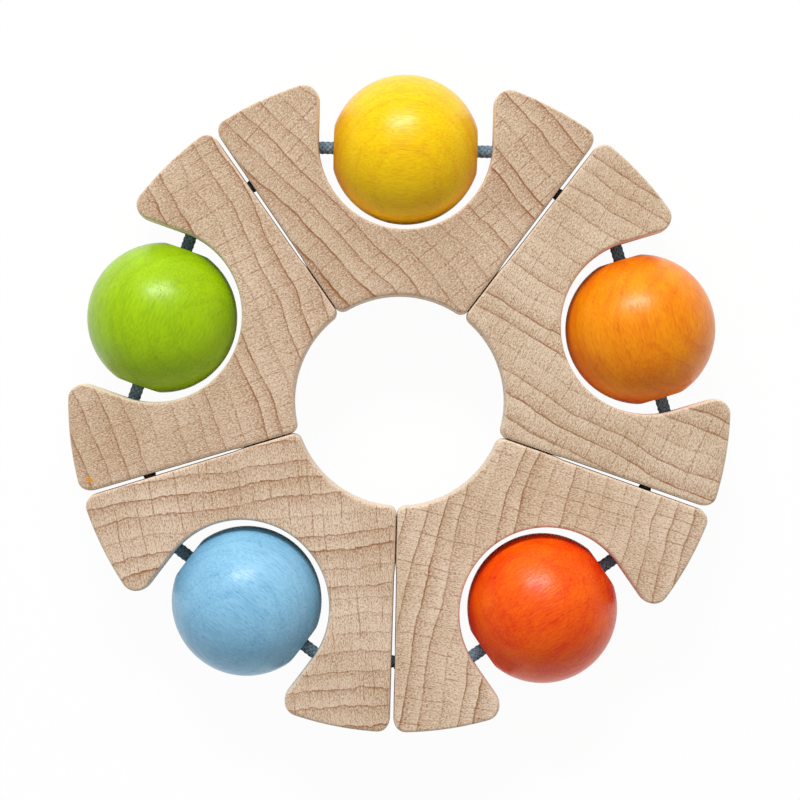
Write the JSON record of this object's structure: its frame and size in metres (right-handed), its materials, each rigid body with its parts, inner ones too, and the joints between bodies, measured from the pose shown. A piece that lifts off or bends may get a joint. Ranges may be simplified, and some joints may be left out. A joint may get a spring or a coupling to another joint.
{
  "type": "peek-a-boo roller toy",
  "caption": "Wooden clutching toy: a ring of beech segments strung on an elastic loop, each with a coloured ball that rolls in a notch in its rim.",
  "frame": {"origin": "on the ring's axis, at half the thickness of the beech board", "axes": "+Z along the ring's axis, up as the toy lies flat; +Y from the ring's axis towards the yellow ball; +X along the yellow ball's cord"},
  "size_m": [0.1116, 0.1109, 0.0252],
  "materials": {
    "beech": "sanded beech, oiled matt",
    "yellow_stain": "yellow stain under gloss lacquer",
    "orange_stain": "orange stain under gloss lacquer",
    "red_stain": "red stain under gloss lacquer",
    "blue_stain": "light blue stain under gloss lacquer",
    "green_stain": "green stain under gloss lacquer",
    "elastic": "braided elastic cord"
  },
  "bodies": {
    "yellow_segment": {"segment_yellow": "beech", "cord_yellow": "elastic"},
    "orange_segment": {"segment_orange": "beech", "cord_orange": "elastic"},
    "red_segment": {"segment_red": "beech", "cord_red": "elastic", "cord_knot": "elastic"},
    "blue_segment": {"segment_blue": "beech", "cord_blue": "elastic"},
    "green_segment": {"segment_green": "beech", "cord_green": "elastic"},
    "yellow_ball": {"ball_yellow": "yellow_stain"},
    "orange_ball": {"ball_orange": "orange_stain"},
    "red_ball": {"ball_red": "red_stain"},
    "blue_ball": {"ball_blue": "blue_stain"},
    "green_ball": {"ball_green": "green_stain"}
  },
  "joints": [
    {"name": "ring_stretch", "type": "slide", "parent": "yellow_segment", "child": "orange_segment", "axis": [0.809, -0.5878, 0], "range_m": [0, 0.008], "stiffness_N_per_m": 280, "springref_m": -0.014},
    {"name": "orange_red_seam", "type": "slide", "parent": "orange_segment", "child": "red_segment", "axis": [-0.309, -0.9511, 0], "range_m": [0, 0.008], "stiffness_N_per_m": 280, "springref_m": -0.014},
    {"name": "yellow_green_seam", "type": "slide", "parent": "yellow_segment", "child": "green_segment", "axis": [-0.809, -0.5878, 0], "range_m": [0, 0.008], "stiffness_N_per_m": 280, "springref_m": -0.014},
    {"name": "green_blue_seam", "type": "slide", "parent": "green_segment", "child": "blue_segment", "axis": [0.309, -0.9511, 0], "range_m": [0, 0.008], "stiffness_N_per_m": 280, "springref_m": -0.014},
    {"name": "yellow_ball_roll", "type": "hinge", "parent": "yellow_segment", "child": "yellow_ball", "pos_m": [0, 0.0426, 0], "axis": [1, 0, 0], "continuous": true},
    {"name": "orange_ball_roll", "type": "hinge", "parent": "orange_segment", "child": "orange_ball", "pos_m": [0.04052, 0.01316, 0], "axis": [0.309, -0.9511, 0], "continuous": true},
    {"name": "red_ball_roll", "type": "hinge", "parent": "red_segment", "child": "red_ball", "pos_m": [0.02504, -0.03446, 0], "axis": [-0.809, -0.5878, 0], "continuous": true},
    {"name": "blue_ball_roll", "type": "hinge", "parent": "blue_segment", "child": "blue_ball", "pos_m": [-0.02504, -0.03446, 0], "axis": [-0.809, 0.5878, 0], "continuous": true},
    {"name": "green_ball_roll", "type": "hinge", "parent": "green_segment", "child": "green_ball", "pos_m": [-0.04052, 0.01316, 0], "axis": [0.309, 0.9511, 0], "continuous": true}
  ],
  "couplings": [
    {"joint": "orange_red_seam", "follows": "ring_stretch", "ratio": 1},
    {"joint": "yellow_green_seam", "follows": "ring_stretch", "ratio": 1},
    {"joint": "green_blue_seam", "follows": "ring_stretch", "ratio": 1}
  ]
}
